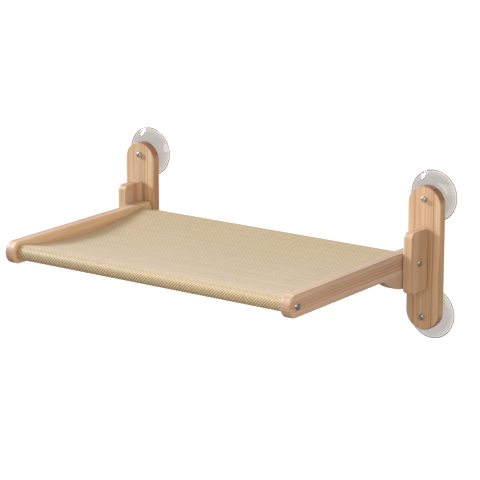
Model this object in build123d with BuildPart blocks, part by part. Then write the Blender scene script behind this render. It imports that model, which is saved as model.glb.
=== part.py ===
from build123d import *
import os
from math import acos, asin, cos, degrees, radians, sqrt

# Window perch for a cat: two wooden brackets on suction cups carry a folding hammock.
#
# Frame, in millimetres: X runs along the window, +Y points at the glass and +Z is up.
# The origin lies on the glass, midway between the brackets and level with the pivots.
# Each bracket is a round-ended upright with a pivot block on its face.
# The hammock is two arms, two cross dowels and a woven sling, and folds up about the pivots.

# --- Suction cups -----------------------------------------------------------
cup_diameter = 90.0
cup_depth = 16.5          # glass to the seat of the neck on the upright
cup_lip_width = 4.5       # flat ring that meets the glass
cup_rim_thickness = 2.5
cup_hollow_depth = 5.5
cup_dome_depth = 10.5     # glass to the shoulder where the neck starts
cup_neck_diameter = 27.0
cup_neck_round = 2.0
cup_end_inset = 22.5      # end of the upright to the cup's axis

# --- Uprights ---------------------------------------------------------------
upright_width = 64.5
upright_thickness = 16.0
upright_height = 250.0
upright_front_round = 1.8
upright_rear_round = 1.5

# --- Pivot blocks -----------------------------------------------------------
block_thickness = 18.0
block_depth = 52.6        # how far it stands out from the upright
block_height = 106.5
block_rise = 1.25          # its middle stands this far above the pivot
block_front_corner = 10.5
block_rear_corner = 6.0
block_edge_round = 2.2
block_setout = 1.0        # its middle stands this far outside the upright's

# --- Arms -------------------------------------------------------------------
arm_spread = 588.0        # outer face to outer face
arm_thickness = 19.0
arm_height = 38.5
arm_edge_round = 2.2
nose_fullness = 1.5       # nose's radius about the front dowel, less half the arm's height
nose_corner = 9.0
heel_depth = 45.5         # pivot axis down to the heel's underside
heel_reach = 80.0         # pivot axis forward to where the heel starts
heel_flat = 4.0           # pivot axis forward to where its underside starts to rise
heel_corner = 6.0
heel_start_round = 4.0
pivot_standoff = 28.0     # pivot axis to the upright's face

# --- Dowels -----------------------------------------------------------------
dowel_pitch = 335.0
front_dowel_diameter = 24.0
rear_dowel_diameter = 22.0
socket_depth = 5.0        # blind socket in each arm's inner face
dowel_end_chamfer = 0.8

# --- Sling ------------------------------------------------------------------
sling_thickness = 1.0
sling_side_gap = 1.5      # bare dowel between an arm and the sling
sling_sag = 14.5          # top of a sleeve down to the lowest point
sling_low_point = 128.0   # front dowel's axis back to the lowest point
sleeve_length = 34.0      # dowel's axis to the seam that closes the sleeve

# --- Machine screws and their threaded inserts ------------------------------
screw_diameter = 6.0
screw_head_diameter = 13.0
screw_head_height = 3.0
cup_screw_head_diameter = 10.5
cup_screw_head_height = 4.8
screw_head_round = 2.4
recess_span = 7.0
recess_width = 1.5
recess_depth = 1.7
screw_tip_chamfer = 0.8
insert_diameter = 9.0
cup_insert_length = 8.0
dowel_insert_length = 15.0
insert_spare = 1.0        # thread left past a screw's tip

# --- Wood screws that hold a block to its upright ---------------------------
wood_screw_diameter = 4.0
wood_screw_head_diameter = 8.0
wood_screw_length = 42.0
wood_screw_point = 6.0
wood_screw_pitch = 60.0

# --- Washers at the pivots --------------------------------------------------
washer_diameter = 16.0
washer_thickness = 0.8

# --- Clearances -------------------------------------------------------------
snug = 0.05               # radial, round a screw or an insert in its own hole
running = 0.08            # radial, round a pivot screw in its block
through = 0.25            # radial, round a screw in a plain through hole
side_play = 0.2           # between faces that turn past each other
stop_gap = 0.3            # heel to upright at rest
sleeve_gap = 0.25         # sling to dowel, all round

# --- Places worked out from the sizes ---------------------------------------
cup_radius = cup_diameter / 2
cup_pitch = upright_height - 2 * cup_end_inset
upright_rear_y = -cup_depth
upright_front_y = upright_rear_y - upright_thickness
pivot_y = upright_front_y - pivot_standoff
front_dowel_y = pivot_y - dowel_pitch

arm_outer_x = arm_spread / 2
arm_middle_x = arm_outer_x - arm_thickness / 2
arm_inner_x = arm_outer_x - arm_thickness
block_inner_x = arm_outer_x + washer_thickness + side_play
block_middle_x = block_inner_x + block_thickness / 2
block_outer_x = block_inner_x + block_thickness
upright_x = block_middle_x - block_setout

screw_radius = screw_diameter / 2
arm_web = arm_thickness - socket_depth
dowel_end_x = arm_inner_x + socket_depth
dowel_screw_length = arm_web + dowel_insert_length - insert_spare
pivot_screw_reach = side_play + block_thickness + side_play + washer_thickness
pivot_screw_length = pivot_screw_reach + dowel_screw_length
cup_screw_length = upright_thickness + cup_insert_length - insert_spare


def save(piece, name):
    """Writes one finished piece under the name of its node."""
    piece.label = name
    export_step(piece, f"parts/{name}.step")


# --- Fasteners --------------------------------------------------------------


def pan_head_screw(seat, length, head_diameter, head_height):
    """A cross-recessed pan head standing on its seat plane, with the shank behind it."""
    outwards = Axis(seat.origin, seat.z_dir)
    with BuildPart(seat) as screw:
        Cylinder(
            head_diameter / 2,
            head_height,
            align=(Align.CENTER, Align.CENTER, Align.MIN),
        )
        fillet(screw.faces().sort_by(outwards)[-1].edges(), radius=screw_head_round)
        Cylinder(screw_radius, length, align=(Align.CENTER, Align.CENTER, Align.MAX))
        chamfer(screw.faces().sort_by(outwards)[0].edges(), length=screw_tip_chamfer)
        with BuildSketch(seat.offset(head_height)):
            Rectangle(recess_span, recess_width)
            Rectangle(recess_width, recess_span)
        extrude(amount=-recess_depth, mode=Mode.SUBTRACT)
    return screw.part


def threaded_insert(mouth, length):
    """A brass sleeve that takes a machine screw, flush with its mouth plane."""
    with BuildPart(mouth) as insert:
        Cylinder(insert_diameter / 2, length, align=(Align.CENTER, Align.CENTER, Align.MAX))
        Hole(screw_radius + snug)
    return insert.part


def wood_screw(seat):
    """A countersunk wood screw, its head level with its seat plane."""
    head_height = (wood_screw_head_diameter - wood_screw_diameter) / 2
    shank_radius = wood_screw_diameter / 2
    outwards = Axis(seat.origin, seat.z_dir)
    with BuildPart(seat) as screw:
        Cylinder(shank_radius, wood_screw_length, align=(Align.CENTER, Align.CENTER, Align.MAX))
        chamfer(
            screw.faces().sort_by(outwards)[0].edges(),
            length=wood_screw_point,
            length2=shank_radius - snug,
        )
        Cone(
            shank_radius,
            wood_screw_head_diameter / 2,
            head_height,
            align=(Align.CENTER, Align.CENTER, Align.MAX),
        )
    return screw.part


# --- Brackets ---------------------------------------------------------------


def upright(side):
    """A round-ended board with a hole for each cup screw and each block screw."""
    middle_y = (upright_front_y + upright_rear_y) / 2
    face = Plane((side * upright_x, middle_y, 0), x_dir=(1, 0, 0), z_dir=(0, -1, 0))
    rear = Plane((side * block_middle_x, upright_rear_y, 0), x_dir=(1, 0, 0), z_dir=(0, 1, 0))
    with BuildPart() as board:
        with BuildSketch(face):
            SlotOverall(upright_height, upright_width, rotation=90)
            with GridLocations(0, cup_pitch, 1, 2):
                Circle(screw_radius + through, mode=Mode.SUBTRACT)
        extrude(amount=upright_thickness / 2, both=True)
        fillet(board.faces().sort_by(Axis.Y)[0].outer_wire().edges(), radius=upright_front_round)
        fillet(board.faces().sort_by(Axis.Y)[-1].outer_wire().edges(), radius=upright_rear_round)
        with Locations(rear):
            with GridLocations(0, wood_screw_pitch, 1, 2):
                CounterSinkHole(
                    wood_screw_diameter / 2 + through,
                    wood_screw_head_diameter / 2 + snug,
                    counter_sink_angle=90,
                )
    return board.part


def pivot_block(side):
    """A block with four rounded corners, drilled for the pivot and for its own screws."""
    rear = Plane((side * block_middle_x, upright_front_y, 0), x_dir=(1, 0, 0), z_dir=(0, 1, 0))
    with BuildPart() as block:
        with BuildSketch(Plane.YZ.offset(side * block_middle_x)) as profile:
            with Locations((upright_front_y - block_depth / 2, block_rise)):
                Rectangle(block_depth, block_height)
            fillet(profile.vertices().sort_by(Axis.X)[:2], radius=block_front_corner)
            fillet(profile.vertices().sort_by(Axis.X)[-2:], radius=block_rear_corner)
            with Locations((pivot_y, 0)):
                Circle(screw_radius + running, mode=Mode.SUBTRACT)
        extrude(amount=block_thickness / 2, both=True)
        rims = ShapeList()
        for cheek in block.faces().filter_by(Axis.X):
            rims += cheek.outer_wire().edges()
        fillet(rims, radius=block_edge_round)
        with Locations(rear):
            with GridLocations(0, wood_screw_pitch, 1, 2):
                Hole(
                    wood_screw_diameter / 2 + snug,
                    depth=wood_screw_length - upright_thickness + insert_spare,
                )
    return block.part


def suction_cup(side, level):
    """A soft round cup with a flat lip and a neck bored for its insert."""
    neck_radius = cup_neck_diameter / 2
    lip_inner = cup_radius - cup_lip_width
    bore_radius = insert_diameter / 2 + snug
    bore_end_y = cup_insert_length - cup_depth
    axis = Plane((side * upright_x, 0, level * cup_pitch / 2), x_dir=(1, 0, 0), z_dir=(0, 0, 1))
    with BuildPart() as cup:
        with BuildSketch(axis) as profile:
            with BuildLine():
                Polyline((lip_inner, 0), (cup_radius, 0), (cup_radius, -cup_rim_thickness))
                TangentArc(
                    (neck_radius, -cup_dome_depth),
                    (cup_radius, -cup_rim_thickness),
                    tangent=(1, 0),
                )
                Polyline(
                    (neck_radius, -cup_dome_depth),
                    (neck_radius, -cup_depth),
                    (bore_radius, -cup_depth),
                    (bore_radius, bore_end_y),
                    (0, bore_end_y),
                    (0, -cup_hollow_depth),
                )
                TangentArc((0, -cup_hollow_depth), (lip_inner, 0), tangent=(1, 0))
            make_face()
            neck_corners = profile.vertices().filter_by_position(
                Axis.X, neck_radius - snug, neck_radius + snug
            )
            fillet(neck_corners, radius=cup_neck_round)
        revolve(axis=Axis(axis.origin, axis.y_dir))
    return cup.part


# --- Hammock ----------------------------------------------------------------


def arm(side):
    """A board with a rounded nose, and a heel that bears on the upright."""
    half_height = arm_height / 2
    nose_radius = half_height + nose_fullness
    nose_angle = degrees(asin(half_height / nose_radius))
    nose_start_y = front_dowel_y - nose_radius * cos(radians(nose_angle))
    rear_radius = pivot_standoff - stop_gap
    rear_angle = degrees(asin(half_height / rear_radius))
    rear_top_y = pivot_y + rear_radius * cos(radians(rear_angle))
    rear_y = pivot_y + rear_radius
    heel_flat_y = pivot_y - heel_flat
    heel_start_y = pivot_y - heel_reach
    with BuildPart() as board:
        with BuildSketch(Plane.YZ.offset(side * arm_middle_x)) as profile:
            with BuildLine():
                CenterArc((front_dowel_y, 0), nose_radius, 180 - nose_angle, 2 * nose_angle)
                Line((nose_start_y, half_height), (rear_top_y, half_height))
                CenterArc((pivot_y, 0), rear_radius, 0, rear_angle)
                Polyline((rear_y, 0), (rear_y, -heel_depth), (heel_flat_y, -heel_depth))
                TangentArc(
                    (heel_flat_y, -heel_depth),
                    (heel_start_y, -half_height),
                    tangent=(-1, 0),
                )
                Line((heel_start_y, -half_height), (nose_start_y, -half_height))
            make_face()
            fillet(profile.vertices().sort_by(Axis.X)[:2], radius=nose_corner)
            fillet(profile.vertices().sort_by_distance((rear_y, -heel_depth))[0], radius=heel_corner)
            fillet(
                profile.vertices().sort_by_distance((heel_start_y, -half_height))[0],
                radius=heel_start_round,
            )
        extrude(amount=arm_thickness / 2, both=True)
        rims = ShapeList()
        for cheek in board.faces().filter_by(Axis.X):
            rims += cheek.outer_wire().edges()
        fillet(rims, radius=arm_edge_round)
        with BuildSketch(Plane.YZ.offset(side * arm_middle_x)):
            with Locations((front_dowel_y, 0), (pivot_y, 0)):
                Circle(screw_radius + through)
        extrude(amount=arm_thickness, both=True, mode=Mode.SUBTRACT)
        with BuildSketch(Plane.YZ.offset(side * arm_inner_x)):
            with Locations((front_dowel_y, 0)):
                Circle(front_dowel_diameter / 2 + snug)
            with Locations((pivot_y, 0)):
                Circle(rear_dowel_diameter / 2 + snug)
        extrude(amount=side * socket_depth, mode=Mode.SUBTRACT)
    return board.part


def dowel(centre_y, diameter):
    """A cross dowel that fills both sockets, bored at each end for an insert."""
    ends = [Plane((side * dowel_end_x, centre_y, 0), z_dir=(side, 0, 0)) for side in (-1, 1)]
    with BuildPart() as rod:
        with BuildSketch(Plane.YZ):
            with Locations((centre_y, 0)):
                Circle(diameter / 2)
        extrude(amount=dowel_end_x, both=True)
        chamfer(rod.edges().filter_by(GeomType.CIRCLE), length=dowel_end_chamfer)
        with Locations(*ends):
            Hole(insert_diameter / 2 + snug, depth=dowel_insert_length)
    return rod.part


def pivot_washer(side):
    """A thin washer that keeps an arm off its block."""
    with BuildPart() as washer:
        with BuildSketch(Plane.YZ.offset(side * arm_outer_x)):
            with Locations((pivot_y, 0)):
                Circle(washer_diameter / 2)
                Circle(screw_radius + snug, mode=Mode.SUBTRACT)
        extrude(amount=side * washer_thickness)
    return washer.part


class SleeveEnd:
    """Points of the sling's section where it wraps one dowel, in the YZ plane.

    The cloth leaves the low point on an arc that is tangent to the sleeve, goes round the
    far side of the dowel and comes back under it to the seam.
    """

    def __init__(self, dowel_y, dowel_diameter, low, towards):
        self.inner_radius = dowel_diameter / 2 + sleeve_gap
        self.outer_radius = self.inner_radius + sling_thickness
        centre = Vector(dowel_y, 0)
        reach = abs(low.X - dowel_y)
        drop = self.outer_radius - low.Y
        sag_radius = (reach**2 + low.Y**2 - self.outer_radius**2) / (2 * drop)
        self.sag_centre = Vector(low.X, low.Y + sag_radius)
        under_radius = sag_radius + sling_thickness

        rise = (self.sag_centre - centre).normalized()
        self.top_outer = centre + rise * self.outer_radius
        self.top_inner = centre + rise * self.inner_radius
        self.far_outer = centre - Vector(towards * self.outer_radius, 0)
        self.far_inner = centre - Vector(towards * self.inner_radius, 0)

        seam_y = dowel_y + towards * sleeve_length
        seam_drop = sqrt(under_radius**2 - (seam_y - self.sag_centre.X) ** 2)
        self.seam = Vector(seam_y, self.sag_centre.Y - seam_drop)
        to_seam = self.seam - centre
        swing = -towards * degrees(acos(self.outer_radius / to_seam.length))
        down = to_seam.normalized().rotate(Axis.Z, swing)
        self.low_outer = centre + down * self.outer_radius
        self.low_inner = centre + down * self.inner_radius

        along = (self.seam - self.low_outer).normalized()
        back = self.sag_centre - self.low_inner
        run = back.dot(along) - sqrt(under_radius**2 - back.length**2 + back.dot(along) ** 2)
        self.flap_end = self.low_inner + along * run
        chord_middle = (self.flap_end + self.top_inner) * 0.5
        self.under_middle = self.sag_centre + (chord_middle - self.sag_centre).normalized() * under_radius


def sling():
    """The woven sheet with a sewn sleeve round each dowel."""
    front_radius = front_dowel_diameter / 2 + sleeve_gap + sling_thickness
    low = Vector(front_dowel_y + sling_low_point, front_radius - sling_sag)
    under = low - Vector(0, sling_thickness)
    front = SleeveEnd(front_dowel_y, front_dowel_diameter, low, 1)
    rear = SleeveEnd(pivot_y, rear_dowel_diameter, low, -1)
    with BuildPart() as cloth:
        with BuildSketch(Plane.YZ):
            with BuildLine():
                for end, away in ((front, (-1, 0)), (rear, (1, 0))):
                    TangentArc(low, end.top_outer, tangent=away)
                    ThreePointArc(end.top_outer, end.far_outer, end.low_outer)
                    Line(end.low_outer, end.seam)
                    TangentArc(under, end.seam, tangent=away)
            make_face()
            for end in (front, rear):
                with BuildLine():
                    ThreePointArc(end.top_inner, end.far_inner, end.low_inner)
                    Line(end.low_inner, end.flap_end)
                    ThreePointArc(end.flap_end, end.under_middle, end.top_inner)
                make_face(mode=Mode.SUBTRACT)
        extrude(amount=arm_inner_x - sling_side_gap, both=True)
    return cloth.part


# --- The pieces -------------------------------------------------------------

os.makedirs("parts", exist_ok=True)

save(dowel(front_dowel_y, front_dowel_diameter), "front_dowel")
save(dowel(pivot_y, rear_dowel_diameter), "rear_dowel")
save(sling(), "sling")

for side, hand in ((-1, "left"), (1, "right")):
    save(upright(side), f"upright_{hand}")
    save(pivot_block(side), f"pivot_block_{hand}")
    save(arm(side), f"arm_{hand}")
    save(pivot_washer(side), f"pivot_washer_{hand}")

    dowel_end = Plane((side * dowel_end_x, front_dowel_y, 0), z_dir=(side, 0, 0))
    arm_face = Plane((side * arm_outer_x, front_dowel_y, 0), z_dir=(side, 0, 0))
    save(threaded_insert(dowel_end, dowel_insert_length), f"front_dowel_insert_{hand}")
    arm_screw = pan_head_screw(
        arm_face, dowel_screw_length, screw_head_diameter, screw_head_height
    )
    save(arm_screw, f"front_dowel_screw_{hand}")

    pivot_end = Plane((side * dowel_end_x, pivot_y, 0), z_dir=(side, 0, 0))
    block_face = Plane((side * (block_outer_x + side_play), pivot_y, 0), z_dir=(side, 0, 0))
    save(threaded_insert(pivot_end, dowel_insert_length), f"rear_dowel_insert_{hand}")
    pivot_screw = pan_head_screw(
        block_face, pivot_screw_length, screw_head_diameter, screw_head_height
    )
    save(pivot_screw, f"pivot_screw_{hand}")

    for level, height in ((-1, "lower"), (1, "upper")):
        cup_z = level * cup_pitch / 2
        neck_seat = Plane((side * upright_x, upright_rear_y, cup_z), z_dir=(0, -1, 0))
        upright_face = Plane((side * upright_x, upright_front_y, cup_z), z_dir=(0, -1, 0))
        save(suction_cup(side, level), f"suction_cup_{height}_{hand}")
        save(threaded_insert(neck_seat, cup_insert_length), f"cup_insert_{height}_{hand}")
        cup_screw = pan_head_screw(
            upright_face, cup_screw_length, cup_screw_head_diameter, cup_screw_head_height
        )
        save(cup_screw, f"cup_screw_{height}_{hand}")

        screw_z = level * wood_screw_pitch / 2
        rear_face = Plane((side * block_middle_x, upright_rear_y, screw_z), z_dir=(0, 1, 0))
        save(wood_screw(rear_face), f"block_screw_{height}_{hand}")
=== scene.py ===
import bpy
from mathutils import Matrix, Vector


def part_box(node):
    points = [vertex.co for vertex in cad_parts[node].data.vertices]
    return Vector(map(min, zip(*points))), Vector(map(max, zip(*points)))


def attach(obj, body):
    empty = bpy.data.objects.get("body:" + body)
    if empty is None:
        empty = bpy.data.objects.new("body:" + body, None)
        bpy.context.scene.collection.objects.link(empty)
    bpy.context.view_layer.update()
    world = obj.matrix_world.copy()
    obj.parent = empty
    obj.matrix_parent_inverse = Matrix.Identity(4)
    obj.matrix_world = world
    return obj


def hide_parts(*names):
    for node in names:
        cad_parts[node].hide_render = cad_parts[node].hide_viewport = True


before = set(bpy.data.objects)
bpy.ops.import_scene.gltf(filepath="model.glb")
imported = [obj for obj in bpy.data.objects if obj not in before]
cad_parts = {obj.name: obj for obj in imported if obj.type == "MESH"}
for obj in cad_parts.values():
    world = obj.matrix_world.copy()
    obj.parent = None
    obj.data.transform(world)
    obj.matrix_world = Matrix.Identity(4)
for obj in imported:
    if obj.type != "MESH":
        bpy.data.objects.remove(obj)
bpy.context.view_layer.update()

import math

import bmesh
import bpy
import numpy as np
from mathutils import Vector, noise

MM = 0.001
X, Y = 0, 1


def middle_and_half(node_name, axis):
    """Where the middle of a solid lies along an axis and half its size there, to 0.1 mm."""
    low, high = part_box(node_name)
    middle = (low[axis] + high[axis]) / 2
    half = (high[axis] - low[axis]) / 2
    return round(middle / MM, 1), round(half / MM, 1)


# ---- Sizes of the perch that its looks depend on, in millimetres ----

FRONT_DOWEL_Y, FRONT_DOWEL_RADIUS = middle_and_half("front_dowel", Y)
REAR_DOWEL_Y, REAR_DOWEL_RADIUS = middle_and_half("rear_dowel", Y)
SLING_HALF_WIDTH = middle_and_half("sling", X)[1]
CUP_RADIUS = middle_and_half("suction_cup_upper_right", X)[1]

CLOTH_THICKNESS = 1.0
SLEEVE_GAP = 0.25
SLEEVE_LENGTH = 34.0  # dowel's axis to the seam
SAG = 14.5  # top of the front sleeve down to the lowest line
LOW_POINT = 128.0  # front dowel's axis back to the lowest line


# ---- Small tools ----

# Sockets of a node that mixes colours
FACTOR, FIRST, SECOND, MIXED = 0, 6, 7, 2

# Nearly all of a noise lies between these values.
NOISE_SPAN = {"From Min": 0.3, "From Max": 0.7}


def linear(hex_colour):
    """An sRGB hex colour as the linear colour that a shader takes."""
    channels = [int(hex_colour[i : i + 2], 16) / 255 for i in (1, 3, 5)]
    return [c / 12.92 if c <= 0.04045 else ((c + 0.055) / 1.055) ** 2.4 for c in channels] + [1.0]


def add(tree, kind, inputs, **settings):
    """Adds one node. An input given as a socket, or as a node for its first one, is linked.

    Any other input is set.
    """
    node = tree.nodes.new("ShaderNode" + kind)
    for name, value in settings.items():
        setattr(node, name, value)
    for name, value in inputs.items():
        if isinstance(value, bpy.types.Node):
            value = value.outputs[0]
        if isinstance(value, bpy.types.NodeSocket):
            tree.links.new(value, node.inputs[name])
        else:
            node.inputs[name].default_value = value
    return node


def ramp_stops(node, stops):
    """Sets the colours of a ramp from pairs of place and hex colour."""
    ramp = node.color_ramp
    while len(ramp.elements) < len(stops):
        ramp.elements.new(0.5)
    for element, (place, colour) in zip(ramp.elements, stops):
        element.position = place
        element.color = linear(colour)
    return node


def new_material(name):
    """An empty material and its node tree."""
    material = bpy.data.materials.new(name)
    material.use_nodes = True
    material.node_tree.nodes.clear()
    return material, material.node_tree


def finish_with(tree, shader):
    """Sends a shader to the surface."""
    add(tree, "OutputMaterial", {"Surface": shader})


def dress(node_name, material):
    """Gives a solid of the frame its material."""
    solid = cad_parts[node_name]
    if not solid.material_slots:
        solid.data.materials.append(None)
    for slot in solid.material_slots:
        slot.link = "OBJECT"
        slot.material = material


# ---- Camera ----

CAMERA_PLACE = (2.1883, -3.1819, 0.9726)
CAMERA_AZIMUTH = 35.73
CAMERA_ELEVATION = 14.42
CAMERA_LENS = 168.4
CAMERA_SENSOR = 36.0
CAMERA_REACH = 60.0


def make_camera():
    """A long lens that looks down on the perch from its front right corner."""
    azimuth, elevation = math.radians(CAMERA_AZIMUTH), math.radians(CAMERA_ELEVATION)
    level = math.cos(elevation)
    back = Vector((math.sin(azimuth) * level, -math.cos(azimuth) * level, math.sin(elevation)))
    camera = bpy.data.objects.new("camera", bpy.data.cameras.new("camera"))
    camera.data.lens = CAMERA_LENS
    camera.data.sensor_width = CAMERA_SENSOR
    camera.data.clip_end = CAMERA_REACH
    camera.rotation_mode = "QUATERNION"
    camera.rotation_quaternion = (-back).to_track_quat("-Z", "Y")
    camera.location = CAMERA_PLACE
    bpy.context.collection.objects.link(camera)
    bpy.context.scene.camera = camera


# ---- Studio, in metres ----

FLOOR_Z = -0.75
FLOOR_SIZE = 30.0
LAMPS_FACE = (0.0, -0.2, 0.0)  # the middle of the perch
UPWARDS = (0.0, 0.0, 1.0)


def graded(tree, low, high, darkest, brightest, **settings):
    """A level that rises from darkest to brightest as a direction turns upwards.

    low and high are the sines of the two elevations between which it rises.
    """
    direction = add(tree, "TexCoord", {}).outputs["Generated"]
    facing = add(tree, "VectorMath", {0: direction, 1: UPWARDS}, operation="DOT_PRODUCT")
    rise = {"From Min": low, "From Max": high, "To Min": darkest, "To Max": brightest}
    return add(tree, "MapRange", {"Value": facing.outputs["Value"], **rise}, **settings)


def make_air():
    """A white room. It is white where it is seen, also through clear plastic.

    Its light is soft, warm and a little stronger from above. In a shiny face it is brighter above
    the horizon than towards the floor.
    """
    world = bpy.data.worlds.new("studio_air")
    bpy.context.scene.world = world
    world.use_nodes = True
    tree = world.node_tree
    tree.nodes.clear()
    path = add(tree, "LightPath", {}).outputs
    soft = graded(tree, low=-1.0, high=1.0, darkest=0.56, brightest=0.78)
    in_shine = graded(
        tree, low=-0.6, high=0.25, darkest=0.12, brightest=0.38, interpolation_type="SMOOTHSTEP"
    )
    glow = add(tree, "Background", {"Color": linear("#FFE6CC"), "Strength": soft})
    mirrored = add(tree, "Background", {"Color": linear("#FFFFFF"), "Strength": in_shine})
    seen = add(tree, "Background", {"Color": linear("#FFFFFF"), "Strength": 1.0})
    light = add(tree, "MixShader", {0: path["Is Glossy Ray"], 1: glow, 2: mirrored})
    direct = add(
        tree, "Math", {0: path["Is Camera Ray"], 1: path["Is Transmission Ray"]}, operation="MAXIMUM"
    )
    either = add(tree, "MixShader", {0: direct, 1: light, 2: seen})
    add(tree, "OutputWorld", {"Surface": either})


def make_floor():
    """A pale floor well below the perch. It reads as white, keeps a shadow, and is open from below."""
    material, tree = new_material("pale_painted_floor")
    paint = add(tree, "BsdfDiffuse", {"Color": linear("#A2A2A2")})
    glow = add(tree, "Emission", {"Color": linear("#FFFFFF"), "Strength": 0.78})
    shown = add(tree, "AddShader", {0: paint, 1: glow})
    from_below = add(tree, "NewGeometry", {}).outputs["Backfacing"]
    clear = add(tree, "BsdfTransparent", {})
    open_below = add(tree, "MixShader", {0: from_below, 1: shown, 2: clear})
    finish_with(tree, open_below)
    half = FLOOR_SIZE / 2
    corners = [(x, y, FLOOR_Z) for x, y in ((-half, -half), (half, -half), (half, half), (-half, half))]
    mesh = bpy.data.meshes.new("floor")
    mesh.from_pydata(corners, [], [(0, 1, 2, 3)])
    mesh.materials.append(material)
    floor = bpy.data.objects.new("floor", mesh)
    bpy.context.collection.objects.link(floor)
    floor.visible_diffuse = False
    floor.visible_glossy = False


def softbox(name, direction, distance, size, power, colour):
    """A rectangular soft light that faces the middle of the perch."""
    lamp = bpy.data.lights.new(name, "AREA")
    lamp.shape = "RECTANGLE"
    lamp.size, lamp.size_y = size
    lamp.energy = power
    lamp.color = linear(colour)[:3]
    holder = bpy.data.objects.new(name, lamp)
    towards = Vector(direction).normalized()
    holder.location = Vector(LAMPS_FACE) + towards * distance
    holder.rotation_mode = "QUATERNION"
    holder.rotation_quaternion = towards.to_track_quat("Z", "Y")
    holder.visible_camera = False
    bpy.context.collection.objects.link(holder)


def make_studio():
    """Soft air, a tall key light on the left, and two small lights near the front."""
    make_air()
    make_floor()
    softbox("key_light", (-1.0, -0.36, 0.53), 10.0, size=(1.2, 3.2), power=1170.0, colour="#F2F8FF")
    softbox("right_light", (0.72, -0.8, 0.28), 1.4, size=(0.8, 0.6), power=1.4, colour="#FFEAD4")
    softbox("front_light", (0.25, -0.8, 0.2), 0.86, size=(0.5, 0.4), power=1.9, colour="#FFEAD4")


# ---- Wood ----

LATEWOOD = "#9A5C34"
HEARTWOOD = "#B27449"
SAPWOOD = "#E6D2B8"
# painted light: the colour of the left arm's inner face, which is lit from the right
LIT_INNER_FACE_PINE = "#E5CAA7"
LIT_EDGE_HIGHLIGHT = "#F2EEE6"  # painted highlight where the key light from the left catches a rounded edge

# Growth rings, from pale to dark
PLAIN_PINE = ("#CFB99F", "#C8AF94", "#BD9B7A")
PINK_PINE = ("#D1C1B4", "#C8B2A3", "#B99C86")

# How much of each colour end grain still gives back once it has drunk the varnish
SAWN_END_GRAIN = (0.60, 0.42, 0.33)
SANDED_END_GRAIN = (0.66, 0.64, 0.61)

RING_WIDTH = 4.0  # millimetres
RING_WANDER = 7.0  # millimetres, the most that lies between the ends of a ring's wander

# One over the size of each pattern in millimetres: twice across the grain, then along it
WANDER_SCALE = (1 / 50, 1 / 50, 0.0045)
FIBRE_SCALE = (1.1, 1.1, 1 / 50)
CLOUD_SCALE = (1 / 20, 1 / 20, 0.012)

# Millimetres from the stretch of a pattern that one seed takes to the next one's
SEED_STEPS = (37.0, 53.0, 71.0)

AXES = {"X": (1.0, 0.0, 0.0), "Y": (0.0, 1.0, 0.0), "Z": (0.0, 0.0, 1.0)}
TURN_GRAIN_TO_Z = {"X": (0, -math.pi / 2, 0), "Y": (math.pi / 2, 0, 0), "Z": (0, 0, 0)}


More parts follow.
